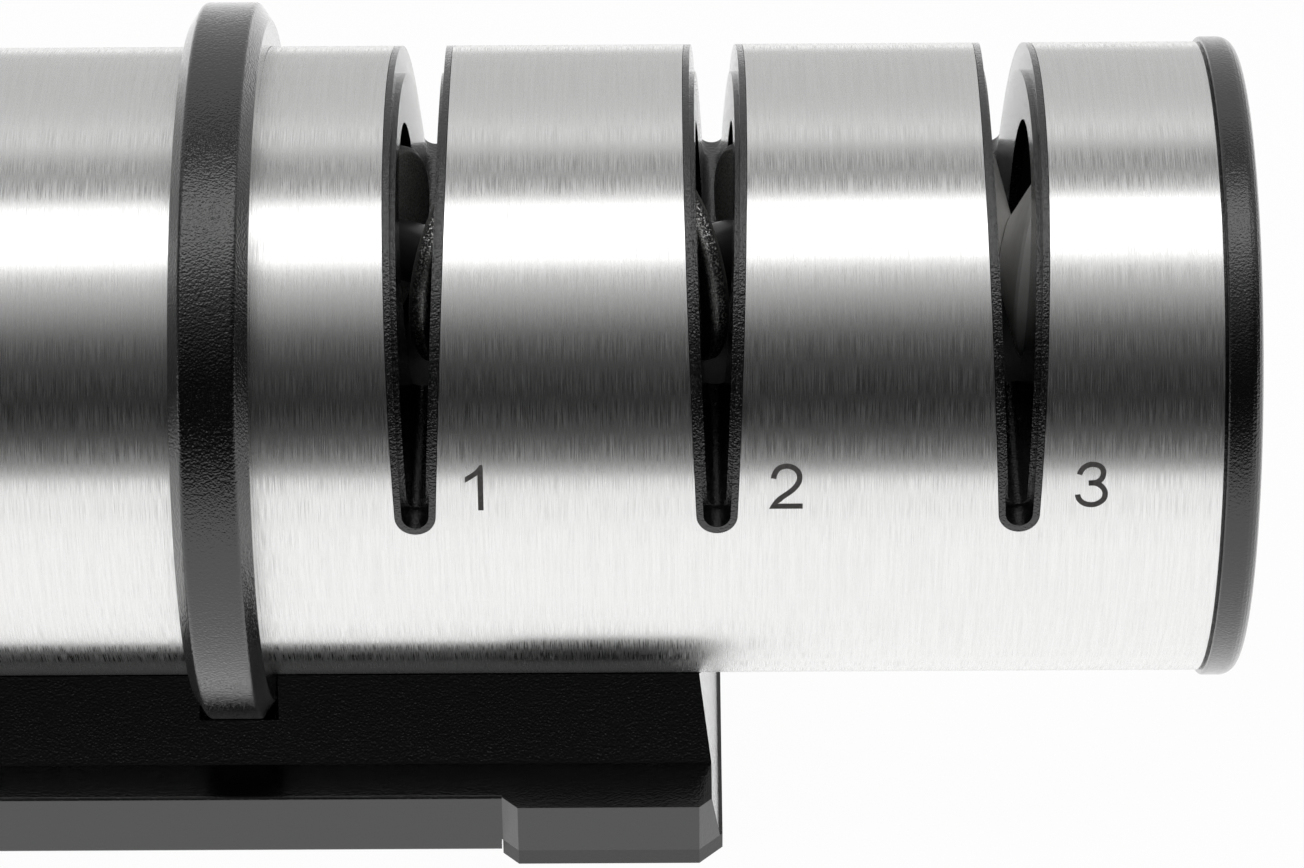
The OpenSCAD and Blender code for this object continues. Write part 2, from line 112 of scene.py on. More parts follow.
def spread(tree: bpy.types.NodeTree, value: Socket, source: Span, target: Span = UNIT) -> Socket:
    """Maps one range of values to another and clamps it.

    Args:
        tree: The node tree that gets the map.
        value: The value to map.
        source: Its range.
        target: The range it is mapped to.

    Returns:
        The mapped value.
    """
    return add_node(tree, "MapRange", {"Value": value}, From_Min=source[0], From_Max=source[1],
                    To_Min=target[0], To_Max=target[1]).outputs[0]


def ramp(tree: bpy.types.NodeTree, value: Socket,
         stops: Sequence[Tuple[float, Colour]]) -> Socket:
    """Turns a value into a colour.

    Args:
        tree: The node tree that gets the ramp.
        value: The value to look up.
        stops: Values in rising order, each with its colour.

    Returns:
        The colour.
    """
    node = add_node(tree, "ValToRGB", {0: value})
    elements = node.color_ramp.elements
    for position, _ in stops[1:-1]:
        elements.new(position)
    for element, (position, colour) in zip(elements, stops):
        element.position = position
        element.color = colour
    return node.outputs[0]


def two_tone(tree: bpy.types.NodeTree, value: Socket, span: Span, low: str, high: str) -> Socket:
    """Turns a value into a blend of two colours.

    Args:
        tree: The node tree that gets the ramp.
        value: The value to look up.
        span: The values between which the colour changes.
        low: The first colour's sRGB hex code.
        high: The second colour's sRGB hex code.

    Returns:
        The colour.
    """
    return ramp(tree, value, ((span[0], linear(low)), (span[1], linear(high))))


def relief(tree: bpy.types.NodeTree, height: Socket, depth_mm: float,
           normal: Optional[Socket] = None) -> Socket:
    """Tilts the normal by a height.

    Args:
        tree: The node tree that gets the bump.
        height: The height, as a share of the depth.
        depth_mm: Depth of the relief.
        normal: The normal it starts from, if that isn't the surface's own.

    Returns:
        The tilted normal.
    """
    inputs = {"Height": height}
    if normal is not None:
        inputs["Normal"] = normal
    return add_node(tree, "Bump", inputs, Strength=1.0, Distance=depth_mm * MM).outputs[0]


@dataclass(frozen=True)
class Placement:
    """Places on the sharpener that the finishes and the printed digits refer to, in millimetres."""

    axis_z: float = 32.4
    tube_r: float = 25.5
    stage_x: Tuple[float, float, float] = (34.5, 57.8, 81.1)
    pin_z: float = 43.1
    skew_deg: Tuple[float, float, float] = (-23.0, 23.0, -15.0)


PLACE = Placement()


@dataclass(frozen=True)
class Finish:
    """A surface finish that builds one Blender material round a Principled shader."""

    name: str

    def build(self) -> bpy.types.Material:
        """Makes the material and fills its node tree.

        Returns:
            The finished material.
        """
        material = bpy.data.materials.new(self.name)
        material.use_nodes = True
        tree = material.node_tree
        tree.nodes.clear()
        shader = add_node(tree, "BsdfPrincipled")
        add_node(tree, "OutputMaterial", {"Surface": shader.outputs[0]})
        self.fill(tree, shader)
        return material

    def fill(self, tree: bpy.types.NodeTree, shader: bpy.types.Node) -> None:
        """Adds the nodes of this finish.

        Args:
            tree: The material's node tree.
            shader: Its Principled shader.
        """
        raise NotImplementedError


@dataclass(frozen=True)
class BrushedStainless(Finish):
    """Stainless steel tube, brushed round its length with a fine belt.

    The belt leaves short scratches that run round the tube. They spread a reflection far along the
    tube and little round it, tilt the surface a little, and here and there scatter the light.
    """

    colour_low: str = "#F1F1F0"
    colour_high: str = "#F7F7F6"
    scratch_width_mm: float = 0.035
    scratch_length_mm: float = 2.6
    scratch_depth_mm: float = 0.0045
    lay_width_mm: float = 0.22
    lay_length_mm: float = 9.0
    lay_span: Span = (0.35, 0.65)
    roughness: Span = (0.22, 0.55)
    rough_span: Span = (0.4, 0.75)
    anisotropy: float = 0.75
    anisotropy_turn: float = 0.25

    def fill(self, tree: bpy.types.NodeTree, shader: bpy.types.Node) -> None:
        """Adds scratches round the tube, as colour, roughness and bump.

        Args:
            tree: The material's node tree.
            shader: Its Principled shader.
        """
        unrolled = self.unroll(tree)
        fine = self.lay(tree, unrolled, self.scratch_width_mm, self.scratch_length_mm, 1.0)
        broad = self.lay(tree, unrolled, self.lay_width_mm, self.lay_length_mm, 2.0)
        share = spread(tree, broad, self.lay_span)
        colour = two_tone(tree, share, UNIT, self.colour_low, self.colour_high)
        rough = spread(tree, fine, self.rough_span, self.roughness)
        bump = relief(tree, fine, self.scratch_depth_mm)
        round_tube = add_node(tree, "Tangent", direction_type="RADIAL", axis="X")
        shader.inputs["Metallic"].default_value = 1.0
        shader.inputs["Anisotropic"].default_value = self.anisotropy
        shader.inputs["Anisotropic Rotation"].default_value = self.anisotropy_turn
        tree.links.new(round_tube.outputs[0], shader.inputs["Tangent"])
        tree.links.new(colour, shader.inputs["Base Color"])
        tree.links.new(rough, shader.inputs["Roughness"])
        tree.links.new(bump, shader.inputs["Normal"])

    def unroll(self, tree: bpy.types.NodeTree) -> Socket:
        """Unrolls the tube's surface.

        Args:
            tree: The material's node tree.

        Returns:
            The place on the unrolled tube, along it and round it.
        """
        part = add_node(tree, "SeparateXYZ", {0: add_node(tree, "TexCoord").outputs["Object"]})
        height = add_node(tree, "Math", {0: part.outputs["Z"], 1: PLACE.axis_z * MM},
                          operation="SUBTRACT")
        turn = add_node(tree, "Math", {0: part.outputs["Y"], 1: height.outputs[0]},
                        operation="ARCTAN2")
        arc = add_node(tree, "Math", {0: turn.outputs[0], 1: PLACE.tube_r * MM},
                       operation="MULTIPLY")
        flat = add_node(tree, "CombineXYZ", {"X": part.outputs["X"], "Y": arc.outputs[0]})
        return flat.outputs[0]

    def lay(self, tree: bpy.types.NodeTree, unrolled: Socket, width_mm: float,
            length_mm: float, detail: float) -> Socket:
        """Adds a noise drawn out round the tube.

        Args:
            tree: The material's node tree.
            unrolled: The place on the unrolled tube.
            width_mm: Width of a scratch.
            length_mm: Length of a scratch.
            detail: Octaves of the noise.

        Returns:
            The noise's value.
        """
        scale = (1 / (width_mm * MM), 1 / (length_mm * MM), 1.0)
        stretch = add_node(tree, "Mapping", {"Vector": unrolled, "Scale": scale},
                           vector_type="POINT")
        return add_node(tree, "TexNoise", {"Vector": stretch.outputs[0]}, Scale=1.0,
                        Detail=detail).outputs[0]


@dataclass(frozen=True)
class MouldedABS(Finish):
    """ABS moulded in a grained tool: a fine pebble texture that breaks highlights into sparkles.

    The glossy skin that forms against the tool is the shader's coat. Handling and dust can dull it
    on the faces that look up.
    """

    colour: str = "#020203"
    colour_worn: str = "#050506"
    wear_mm: float = 4.0
    wear_span: Span = (0.35, 0.75)
    grain_mm: float = 0.3
    grain_depth_mm: float = 0.03
    pebble_blend: float = 0.6
    fine_grain_share: float = 0.6
    roughness: float = 0.3
    ior: float = 1.53
    skin_ior: float = 1.5
    skin_roughness_share: float = 0.7
    skin_on_top: float = 1.0
    top_slope: Span = (0.15, 0.35)

    def fill(self, tree: bpy.types.NodeTree, shader: bpy.types.Node) -> None:
        """Adds the pebble grain, a slight change of colour over it and the glossy skin.

        Args:
            tree: The material's node tree.
            shader: Its Principled shader.
        """
        coordinates = add_node(tree, "TexCoord")
        place = coordinates.outputs["Object"]
        pebbles = add_node(tree, "TexVoronoi", {"Vector": place}, feature="SMOOTH_F1",
                           Scale=1 / (self.grain_mm * MM), Smoothness=self.pebble_blend)
        fine = noise(tree, place, self.grain_mm * self.fine_grain_share, 2.0)
        height = add_node(tree, "Math", {0: fine, 1: pebbles.outputs["Distance"]},
                          operation="SUBTRACT")
        bump = relief(tree, height.outputs[0], self.grain_depth_mm)
        wear = noise(tree, place, self.wear_mm, 3.0)
        colour = two_tone(tree, wear, self.wear_span, self.colour, self.colour_worn)
        tree.links.new(colour, shader.inputs["Base Color"])
        tree.links.new(bump, shader.inputs["Normal"])
        tree.links.new(bump, shader.inputs["Coat Normal"])
        shader.inputs["Roughness"].default_value = self.roughness
        shader.inputs["IOR"].default_value = self.ior
        shader.inputs["Coat Weight"].default_value = 1.0
        shader.inputs["Coat Roughness"].default_value = self.roughness * self.skin_roughness_share
        shader.inputs["Coat IOR"].default_value = self.skin_ior
        if self.skin_on_top < 1.0:
            part = add_node(tree, "SeparateXYZ", {0: coordinates.outputs["Normal"]})
            skin = spread(tree, part.outputs["Z"], self.top_slope, (1.0, self.skin_on_top))
            tree.links.new(skin, shader.inputs["Coat Weight"])


@dataclass(frozen=True)
class PlatedDiamond(Finish):
    """Diamond grit held on a steel disc by nickel plating.

    The rim is dark with sharpening dust and the sides are cleaner. The outer edge is near-white
    metal:
    partly wear rubbed bright by blades, partly a painted highlight along the rounded edge. A
    rounded normal and the side of the hub tell the three apart.
    """

    stage_number: int = 0
    grit_mm: float = 0.12
    grit_depth_mm: float = 0.035
    dust_mm: float = 0.16
    dust_span: Span = (0.35, 0.65)
    dust_shade: Span = (0.45, 1.1)
    rim: str = "#484847"
    side: str = "#E4E4E1"
    # Near-white edge colour: partly real wear, partly a painted highlight of the rounded edge.
    worn_and_highlight: str = "#FBFAF7"
    edge_round_mm: float = 0.55
    inner_edge: Span = (0.06, 0.2)
    worn_and_highlight_edge: Span = (0.5, 0.54)
    outer_edge: Span = (0.85, 0.97)
    fray_span: Span = (0.3, 0.7)
    fray: float = 0.12
    roughness: float = 0.34

    def fill(self, tree: bpy.types.NodeTree, shader: bpy.types.Node) -> None:
        """Adds the grit's grains and the near-white worn edge, which is partly a painted highlight.

        Args:
            tree: The material's node tree.
            shader: Its Principled shader.
        """
        place = add_node(tree, "TexCoord").outputs["Object"]
        grains = add_node(tree, "TexVoronoi", {"Vector": place}, Scale=1 / (self.grit_mm * MM))
        dust = noise(tree, place, self.dust_mm, 2.0)
        edge = add_node(tree, "Bevel", Radius=self.edge_round_mm * MM).outputs[0]
        outward = self.lean_outward(tree, place, edge, dust)
        # The ramp runs from the side to the dark rim, then to the near-white edge that is partly a
        # painted highlight.
        positions = self.inner_edge + self.worn_and_highlight_edge + self.outer_edge
        shades = (self.side, self.rim, self.rim, self.worn_and_highlight, self.worn_and_highlight, self.side)
        colour = ramp(tree, outward, tuple(zip(positions, map(linear, shades))))
        grain = spread(tree, dust, self.dust_span, self.dust_shade)
        grey = add_node(tree, "CombineXYZ", {0: grain, 1: grain, 2: grain})
        grained = add_node(tree, "Mix", {0: 1.0, 6: colour, 7: grey.outputs[0]}, data_type="RGBA",
                           blend_type="MULTIPLY")
        bare = spread(tree, outward, self.worn_and_highlight_edge)
        height = add_node(tree, "Math", {0: grains.outputs["Distance"], 1: -1.0},
                          operation="MULTIPLY")
        bump = relief(tree, height.outputs[0], self.grit_depth_mm, edge)
        tree.links.new(grained.outputs[2], shader.inputs["Base Color"])
        tree.links.new(bare, shader.inputs["Metallic"])
        tree.links.new(bump, shader.inputs["Normal"])
        shader.inputs["Roughness"].default_value = self.roughness

    def lean_outward(self, tree: bpy.types.NodeTree, place: Socket, edge: Socket,
                     dust: Socket) -> Socket:
        """Finds how far the rounded normal leans away from the other wheel of the pair.

        Args:
            tree: The material's node tree.
            place: The place on the wheel.
            edge: The rounded normal.
            dust: A noise that frays the worn edge.

        Returns:
            The output that is zero on the inner side, a half on the rim and one on the outer side.
        """
        skew = math.radians(PLACE.skew_deg[self.stage_number])
        pin = (math.cos(skew), math.sin(skew), 0)
        middle = Vector((PLACE.stage_x[self.stage_number], 0, PLACE.pin_z)) * MM
        from_hub = add_node(tree, "VectorMath", {0: place, 1: middle}, operation="SUBTRACT")
        along = add_node(tree, "VectorMath", {0: from_hub.outputs[0], 1: pin},
                         operation="DOT_PRODUCT")
        side = add_node(tree, "Math", {0: along.outputs["Value"]}, operation="SIGN")
        lean = add_node(tree, "VectorMath", {0: edge, 1: pin}, operation="DOT_PRODUCT")
        outward = add_node(tree, "Math", {0: side.outputs[0], 1: lean.outputs["Value"]},
                           operation="MULTIPLY")
        fray = spread(tree, dust, self.fray_span, (-self.fray, self.fray))
        frayed = add_node(tree, "Math", {0: outward.outputs[0], 1: fray}, operation="ADD")
        return spread(tree, frayed.outputs[0], (-1.0, 1.0))


@dataclass(frozen=True)
class SinteredAlumina(Finish):
    """Fine alumina ceramic, sintered and ground: pale, matt and nearly even."""

    colour: str = "#FCFBF9"
    stain: str = "#F0EFEC"
    stain_mm: float = 1.6
    stain_span: Span = (0.3, 0.6)
    grain_mm: float = 0.2
    grain_depth_mm: float = 0.006
    roughness: float = 0.4
    ior: float = 1.77

    def fill(self, tree: bpy.types.NodeTree, shader: bpy.types.Node) -> None:
        """Adds the faint mottle and grinding marks of used ceramic.

        Args:
            tree: The material's node tree.
            shader: Its Principled shader.
        """
        place = add_node(tree, "TexCoord").outputs["Object"]
        mottle = noise(tree, place, self.stain_mm, 4.0)
        colour = two_tone(tree, mottle, self.stain_span, self.stain, self.colour)
        bump = relief(tree, noise(tree, place, self.grain_mm, 2.0), self.grain_depth_mm)
        tree.links.new(colour, shader.inputs["Base Color"])
        tree.links.new(bump, shader.inputs["Normal"])
        shader.inputs["Roughness"].default_value = self.roughness
        shader.inputs["IOR"].default_value = self.ior


@dataclass(frozen=True)
class TurnedSteel(Finish):
    """Small steel parts, turned or zinc-plated, with faint tool marks."""

    colour: str = "#B9B9BA"
    dull: str = "#A5A5A4"
    dull_mm: float = 2.5
    dull_span: Span = (0.3, 0.6)
    mark_mm: float = 0.12
    mark_depth_mm: float = 0.004
    roughness: float = 0.3
    rough_shares: Span = (0.8, 1.3)
    rough_span: Span = (0.3, 0.7)

    def fill(self, tree: bpy.types.NodeTree, shader: bpy.types.Node) -> None:
        """Adds fine marks as bump and a slight spread of roughness.

        Args:
            tree: The material's node tree.
            shader: Its Principled shader.
        """
        place = add_node(tree, "TexCoord").outputs["Object"]
        marks = noise(tree, place, self.mark_mm, 3.0)
        smooth, rough = (self.roughness * share for share in self.rough_shares)
        bump = relief(tree, marks, self.mark_depth_mm)
        tint = noise(tree, place, self.dull_mm, 2.0)
        colour = two_tone(tree, tint, self.dull_span, self.dull, self.colour)
        tree.links.new(colour, shader.inputs["Base Color"])
        tree.links.new(spread(tree, marks, self.rough_span, (smooth, rough)),
                       shader.inputs["Roughness"])
        tree.links.new(bump, shader.inputs["Normal"])
        shader.inputs["Metallic"].default_value = 1.0


@dataclass(frozen=True)
class FootRubber(Finish):
    """Moulded thermoplastic rubber: black, matt and slightly dusty."""

    colour: str = "#0C0C0C"
    dust: str = "#1B1B1A"
    dust_mm: float = 1.2
    dust_span: Span = (0.4, 0.8)
    grain_mm: float = 0.25
    grain_depth_mm: float = 0.02
    roughness: float = 0.45
    specular: float = 1.0

    def fill(self, tree: bpy.types.NodeTree, shader: bpy.types.Node) -> None:
        """Adds a soft grain and dust.

        Args:
            tree: The material's node tree.
            shader: Its Principled shader.
        """
        place = add_node(tree, "TexCoord").outputs["Object"]
        dust = noise(tree, place, self.dust_mm, 5.0)
        colour = two_tone(tree, dust, self.dust_span, self.colour, self.dust)
        bump = relief(tree, noise(tree, place, self.grain_mm, 2.0), self.grain_depth_mm)
        tree.links.new(colour, shader.inputs["Base Color"])
        tree.links.new(bump, shader.inputs["Normal"])
        shader.inputs["Roughness"].default_value = self.roughness
        shader.inputs["Specular IOR Level"].default_value = self.specular


@dataclass(frozen=True)
class EtchedInk(Finish):
    """Dark oxide left by electrolytic etching through a stencil: matt grey, slightly mottled."""

    colour: str = "#5C5A59"
    faded: str = "#747170"
    mottle_mm: float = 0.22
    mottle_span: Span = (0.35, 0.75)
    roughness: float = 0.7
    specular: float = 0.3

    def fill(self, tree: bpy.types.NodeTree, shader: bpy.types.Node) -> None:
        """Adds the mottle of the etched oxide.

        Args:
            tree: The material's node tree.
            shader: Its Principled shader.
        """
        place = add_node(tree, "TexCoord").outputs["Object"]
        mottle = noise(tree, place, self.mottle_mm, 2.0)
        colour = two_tone(tree, mottle, self.mottle_span, self.colour, self.faded)
        tree.links.new(colour, shader.inputs["Base Color"])
        shader.inputs["Roughness"].default_value = self.roughness
        shader.inputs["Specular IOR Level"].default_value = self.specular


class Stage(Enum):
    """The sharpening stages, counted from the handle."""

    COARSE = 0
    MEDIUM = 1
    FINE = 2


def dress(node: str, material: bpy.types.Material) -> None:
    """Gives a CAD node its material.

    Args:
        node: Name of the node.
        material: The material for all its faces.
    """
    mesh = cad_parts[node].data
    mesh.materials.clear()
    mesh.materials.append(material)
    LOG.info("%s: %s", node, material.name)


def ribbon(line: Sequence[Point2], width: float) -> Strip:
    """Widens a centre line into a strip.

    Args:
        line: Points along the middle of a stroke.
        width: Width of the stroke.

    Returns:
        Pairs of points on the stroke's left and right edges.
    """
    strip: Strip = []
    for i, p in enumerate(line):
        a = Vector(line[max(i - 1, 0)])
        b = Vector(line[min(i + 1, len(line) - 1)])
        along = (b - a).normalized()
        side = Vector((-along.y, along.x)) * width / 2
        strip.append(((p[0] + side.x, p[1] + side.y), (p[0] - side.x, p[1] - side.y)))
    return strip


def smooth_line(points: Sequence[Point2], steps: int = 4) -> List[Point2]:
    """Runs a smooth curve through points.

    Args:
        points: Points that the curve passes.
        steps: Points on the curve for each stretch.

    Returns:
        The points of the curve.
    """
    line: List[Point2] = []
    last = len(points) - 1
    for i in range(last):
        p0, p1, p2, p3 = (Vector(points[min(max(k, 0), last)]) for k in (i - 1, i, i + 1, i + 2))
        for k in range(steps):
            t = k / steps
            q = 0.5 * (2 * p1 + (p2 - p0) * t + (2 * p0 - 5 * p1 + 4 * p2 - p3) * t ** 2
                       + (3 * p1 - p0 - 3 * p2 + p3) * t ** 3)
            line.append((q.x, q.y))
    line.append(tuple(points[-1]))
    return line


@dataclass
class StageDigit:
    """A plain numeral etched into the tube beside its slot.

    Its strokes are drawn in shares of its height, from its foot, and wrapped on the tube.
    """

    stage: Stage
    x_mm: float
    height_mm: float = 3.81
    foot_deg: float = 78.8
    stroke_share: float = 0.11
    lift_mm: float = 0.012

    def strips(self) -> List[Strip]:
        """Draws the digit's strokes.

        Returns:
            The strokes as strips.
        """
        if self.stage is Stage.COARSE:
            stem = ribbon([(0.0, 0.0), (0.0, 0.25), (0.0, 0.5), (0.0, 0.75), (0.0, 0.93)],
                          self.stroke_share)
            cap = [((-0.055, 0.93), (0.055, 0.93)), ((-0.012, 0.985), (0.05, 0.97)),
                   ((-0.004, 1.0), (0.045, 1.0))]
            flag = [((-0.01, 1.0), (-0.03, 0.815)), ((-0.055, 0.935), (-0.07, 0.775)),
                    ((-0.12, 0.865), (-0.13, 0.735)), ((-0.21, 0.8), (-0.21, 0.68)),
                    ((-0.31, 0.735), (-0.31, 0.62))]
            return [stem, cap, flag]
        if self.stage is Stage.MEDIUM:
            bowl = smooth_line([(-0.255, 0.675), (-0.24, 0.75), (-0.205, 0.83), (-0.15, 0.895),
                                (-0.075, 0.93), (0.02, 0.945), (0.115, 0.925), (0.2, 0.87),
                                (0.255, 0.79), (0.272, 0.7), (0.258, 0.61), (0.215, 0.525),
                                (0.15, 0.445), (0.065, 0.37), (-0.03, 0.3), (-0.12, 0.23)])
            heel = [((-0.16, 0.27), (-0.075, 0.185)), ((-0.235, 0.185), (-0.135, 0.14)),
                    ((-0.29, 0.1), (-0.185, 0.112)), ((-0.345, 0.0), (-0.18, 0.0))]
            bar = [((-0.19, 0.112), (-0.19, 0.0)), ((0.05, 0.112), (0.05, 0.0)),
                   ((0.335, 0.112), (0.335, 0.0))]
            return [ribbon(bowl, self.stroke_share), heel, bar]
        top = smooth_line([(-0.25, 0.73), (-0.225, 0.8), (-0.18, 0.865), (-0.115, 0.915),
                           (-0.03, 0.945), (0.055, 0.945), (0.14, 0.92), (0.205, 0.865),
                           (0.232, 0.79), (0.228, 0.71), (0.198, 0.635), (0.135, 0.575),
                           (0.06, 0.548), (-0.06, 0.54)])
        low = smooth_line([(-0.06, 0.54), (0.03, 0.543), (0.1, 0.53), (0.175, 0.49),
                           (0.235, 0.43), (0.27, 0.36), (0.278, 0.29), (0.265, 0.215),
                           (0.225, 0.15), (0.155, 0.095), (0.07, 0.06), (-0.02, 0.055),
                           (-0.115, 0.075), (-0.19, 0.12), (-0.245, 0.185), (-0.27, 0.25),
                           (-0.275, 0.285)])
        return [ribbon(top, self.stroke_share), ribbon(low, self.stroke_share)]

    def wrap(self, point: Point2) -> Vector:
        """Places a point of the digit's drawing on the tube.

        Args:
            point: A point in shares of the digit's height.

        Returns:
            The place in the row's frame, in metres.
        """
        radius = PLACE.tube_r + self.lift_mm
        angle = math.radians(self.foot_deg) - point[1] * self.height_mm / PLACE.tube_r
        return Vector((self.x_mm + point[0] * self.height_mm, -radius * math.sin(angle),
                       PLACE.axis_z + radius * math.cos(angle))) * MM

    def build(self, material: bpy.types.Material) -> bpy.types.Object:
        """Makes the digit's mesh.

        Args:
            material: The etched ink.

        Returns:
            The digit, riding on the body.
        """
        work = bmesh.new()
        for strip in self.strips():
            rows = [(work.verts.new(self.wrap(a)), work.verts.new(self.wrap(b))) for a, b in strip]
            for (a, b), (c, d) in zip(rows, rows[1:]):
                work.faces.new((a, b, d, c))
        bmesh.ops.recalc_face_normals(work, faces=work.faces)
        for face in work.faces:
            middle = face.calc_center_median()
            outward = middle - Vector((middle.x, 0, PLACE.axis_z * MM))
            if face.normal.dot(outward) < 0:
                face.normal_flip()
        mesh = bpy.data.meshes.new(f"stage_digit_{self.stage.value + 1}")
        work.to_mesh(mesh)
        work.free()
        mesh.materials.append(material)
        digit = bpy.data.objects.new(mesh.name, mesh)
        bpy.context.scene.collection.objects.link(digit)
        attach(digit, BODY)
        LOG.info("%s: etched numeral", digit.name)
        return digit


@dataclass
class Tube:
    """The brushed tube with its slot liners, its ring, its end caps and the stage digits."""

    steel: BrushedStainless = BrushedStainless("stainless_brushed_round")
    ring_abs: MouldedABS = MouldedABS("abs_ring_grained", grain_mm=0.21, grain_depth_mm=0.027,
                                      roughness=0.07)
    cap_abs: MouldedABS = MouldedABS("abs_cap_grained", grain_mm=0.2, grain_depth_mm=0.02,
                                     roughness=0.24)
    liner_abs: MouldedABS = MouldedABS("abs_liner_grained", grain_mm=0.19, grain_depth_mm=0.04,
                                       roughness=0.1)
    ink: EtchedInk = EtchedInk("etched_oxide_grey")
    digit_x: Tuple[float, float, float] = (39.6, 63.12, 86.6)

    def build(self) -> None:
        """Dresses the tube's nodes and adds the digits."""
        dress("tube_shell", self.steel.build())
        dress("collar_ring", self.ring_abs.build())
        cap = self.cap_abs.build()
        for node in ("left_end_cap", "right_end_cap"):
            dress(node, cap)
        liner = self.liner_abs.build()
        for number in (1, 2, 3):
            dress(f"slot_liner_{number}", liner)
        ink = self.ink.build()
        for stage in Stage:
            StageDigit(stage, self.digit_x[stage.value]).build(ink)


@dataclass
class WheelPair:
    """A pair of sharpening wheels on their hub and pin."""

    stage: Stage
    finish: Finish
    hub: MouldedABS = MouldedABS("acetal_hub_smooth", colour="#3A3A3B", colour_worn="#454546",
                                 grain_mm=0.5, grain_depth_mm=0.002, roughness=0.35)
    pin: TurnedSteel = TurnedSteel("ground_steel_pin", roughness=0.22)

    def build(self) -> None:
        """Dresses both wheels, the hub and the pin."""
        word = self.stage.name.lower()
        grit = self.finish.build()
        for side in ("left", "right"):
            dress(f"{word}_wheel_{side}", grit)
        dress(f"{word}_hub", self.hub.build())
        dress(f"{word}_axle", self.pin.build())


@dataclass
class Core:
    """The moulded halves inside the tube, the block at the handle end and their screws."""

    nylon: MouldedABS = MouldedABS("nylon_core_matt", colour="#070708", colour_worn="#0B0B0C",
                                   grain_mm=0.25, grain_depth_mm=0.01, roughness=0.5,
                                   skin_ior=1.15)
    zinc: TurnedSteel = TurnedSteel("zinc_plated_screw", colour="#C3C4C8", roughness=0.34)

    def build(self) -> None:
        """Dresses the hidden inner parts."""
        nylon = self.nylon.build()
        for node in ("core_front_half", "core_rear_half", "handle_clamp_block"):
            dress(node, nylon)
        zinc = self.zinc.build()
        for node in ("core_screws", "base_screws"):
            dress(node, zinc)


@dataclass
class Base:
    """The moulded base and its rubber pads."""

    abs_grained: MouldedABS = MouldedABS("abs_base_grained", grain_mm=0.2, grain_depth_mm=0.01,
                                         roughness=0.1, skin_on_top=0.0)
    rubber: FootRubber = FootRubber("tpe_foot_rubber")

    def build(self) -> None:
        """Dresses the base and its pads."""
        dress("base_cradle", self.abs_grained.build())
        rubber = self.rubber.build()
        for node in ("left_foot_pad", "right_foot_pad"):
            dress(node, rubber)


@dataclass
class PhotoCamera:
    """The camera, standing where the photograph was taken from."""

    stand_x_mm: float = 54.631
    distance_mm: float = 428.374
    elevation_deg: float = 38.3
    aim_x_mm: float = -1.914
    aim_up_mm: float = -6.131
    roll_deg: float = -0.3031
    focal_px: float = 5265.77
    photo_width_px: float = 1304.0
    sensor_mm: float = 36.0
    clip_m: Span = (0.01, 50.0)

    def build(self) -> bpy.types.Object:
        """Makes the camera and sets it as the scene's own.

        Returns:
            The camera.
        """
        e = math.radians(self.elevation_deg)
        back = Vector((0, -math.cos(e), math.sin(e)))
        up = Vector((0, math.sin(e), math.cos(e)))
        foot = Vector((self.stand_x_mm, 0, PLACE.axis_z))
        stand = foot + back * self.distance_mm
        aim = foot + Vector((self.aim_x_mm, 0, 0)) + up * self.aim_up_mm
        ahead = (aim - stand).normalized()
        right = ahead.cross(up).normalized()
        top = right.cross(ahead)
        a = math.radians(self.roll_deg)
        right, top = (right * math.cos(a) + top * math.sin(a),
                      top * math.cos(a) - right * math.sin(a))
        data = bpy.data.cameras.new("photo_camera")
        data.sensor_fit = "HORIZONTAL"
        data.sensor_width = self.sensor_mm
        data.lens = self.focal_px / self.photo_width_px * self.sensor_mm
        data.clip_start, data.clip_end = self.clip_m
        camera = bpy.data.objects.new("photo_camera", data)
        bpy.context.scene.collection.objects.link(camera)
        axes = Matrix((right, top, -ahead)).transposed().to_4x4()
        camera.matrix_world = Matrix.Translation(stand * MM) @ axes
        bpy.context.scene.camera = camera
        return camera


